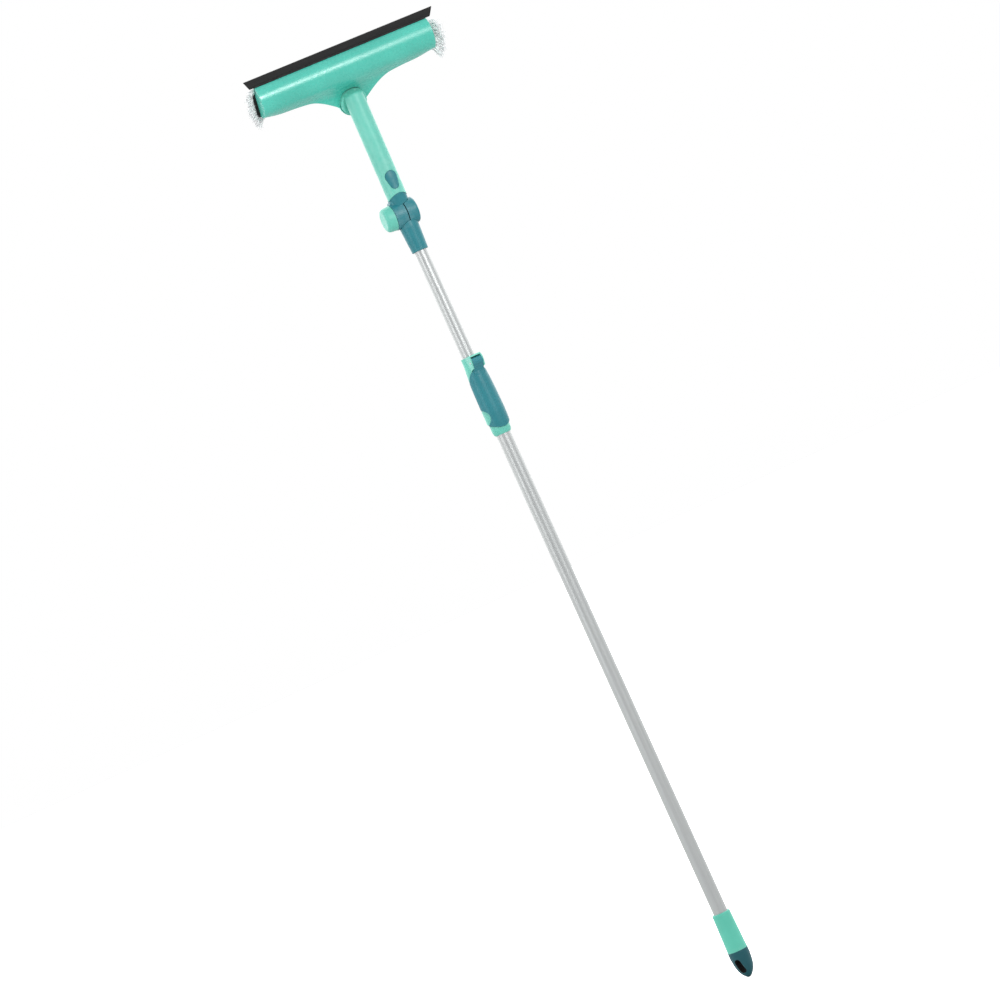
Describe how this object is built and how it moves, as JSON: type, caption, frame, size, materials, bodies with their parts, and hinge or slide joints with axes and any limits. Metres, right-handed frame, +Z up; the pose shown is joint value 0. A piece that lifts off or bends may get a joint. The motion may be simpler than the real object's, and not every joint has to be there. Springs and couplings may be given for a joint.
{
  "type": "window wiper on a telescopic pole",
  "caption": "T-shaped squeegee with rubber blade and microfibre pad, on a tilting swivel neck and a two-part telescopic aluminium pole with a cam-lever clamp.",
  "frame": {"origin": "tip of the end cap, on the pole's axis", "axes": "+Z up the pole towards the head, -Y to the front, where the blade and the clamp lever face, X along the blade"},
  "size_m": [0.362, 0.0878, 1.6976],
  "materials": {
    "aluminium": "drawn aluminium tube, clear anodised",
    "grip_mint": "moulded plastic, fine satin",
    "cap_petrol": "moulded plastic, satin",
    "mint_plastic": "moulded plastic, satin",
    "petrol_plastic": "moulded plastic, satin",
    "turquoise_plastic": "moulded plastic, soft gloss",
    "black_plastic": "moulded plastic, matt",
    "black_rubber": "natural rubber, matt",
    "steel": "zinc-plated steel",
    "brass": "turned brass",
    "hook_tape": "nylon hook tape",
    "microfibre": "long-pile microfibre, white"
  },
  "bodies": {
    "outer_pole": {"outer_tube": "aluminium", "end_grip": "grip_mint", "end_cap": "cap_petrol", "clamp_body": "mint_plastic", "clamp_bush": "black_plastic", "lever_pin": "steel", "clamp_screws": "steel"},
    "lever": {"clamp_lever": "petrol_plastic"},
    "brake": {"brake_shoe": "black_plastic"},
    "inner_pole": {"inner_tube": "aluminium", "inner_guide": "black_plastic", "joint_socket": "petrol_plastic", "friction_disc": "black_plastic", "joint_bolt": "steel", "socket_rivet": "steel"},
    "knob_carrier": {"knob_washer": "steel"},
    "knob": {"joint_knob": "mint_plastic", "knob_insert": "brass"},
    "neck": {"joint_head": "petrol_plastic", "neck_handle": "mint_plastic", "button_spring": "steel", "swivel_bolt": "steel", "swivel_washer": "steel"},
    "button": {"release_button": "petrol_plastic"},
    "head": {"head_shell": "turquoise_plastic", "swivel_bush": "black_plastic", "swivel_disc": "black_plastic", "blade_channel": "black_plastic", "squeegee_rubber": "black_rubber", "pad_plate": "black_plastic", "shell_screws": "steel", "hook_strips": "hook_tape", "microfibre_pad": "microfibre"}
  },
  "joints": [
    {"name": "pole_slide", "type": "slide", "parent": "outer_pole", "child": "inner_pole", "axis": [0, 0, 1], "range_m": [-0.185, 0.6]},
    {"name": "lever_hinge", "type": "hinge", "parent": "outer_pole", "child": "lever", "pos_m": [0.00316, -0.01995, 1.1258], "axis": [-0.9877, -0.1564, 0], "range_deg": [0, 100]},
    {"name": "brake_slide", "type": "slide", "parent": "outer_pole", "child": "brake", "axis": [0.1564, -0.9877, 0], "range_m": [0, 0.0006]},
    {"name": "neck_tilt", "type": "hinge", "parent": "inner_pole", "child": "neck", "pos_m": [0, 0, 1.401], "axis": [1, 0, 0], "range_deg": [-90, 80]},
    {"name": "knob_turn", "type": "hinge", "parent": "knob_carrier", "child": "knob", "pos_m": [0, 0, 1.401], "axis": [-1, 0, 0], "range_deg": [0, 540]},
    {"name": "knob_travel", "type": "slide", "parent": "inner_pole", "child": "knob_carrier", "axis": [-1, 0, 0], "range_m": [0, 0.0019]},
    {"name": "button_press", "type": "slide", "parent": "neck", "child": "button", "axis": [0, 0.9981, 0.061], "range_m": [0, 0.004], "stiffness_N_per_m": 800, "springref_m": -0.003, "deforming": ["button_spring"]},
    {"name": "head_swivel", "type": "hinge", "parent": "neck", "child": "head", "pos_m": [0, -0.0058, 1.6056], "axis": [0, -0.8572, -0.515], "range_deg": [-90, 90]}
  ],
  "couplings": [
    {"joint": "brake_slide", "follows": "lever_hinge", "m_per_rad": 0.0003},
    {"joint": "knob_travel", "follows": "knob_turn", "m_per_rad": 0.00019894}
  ]
}
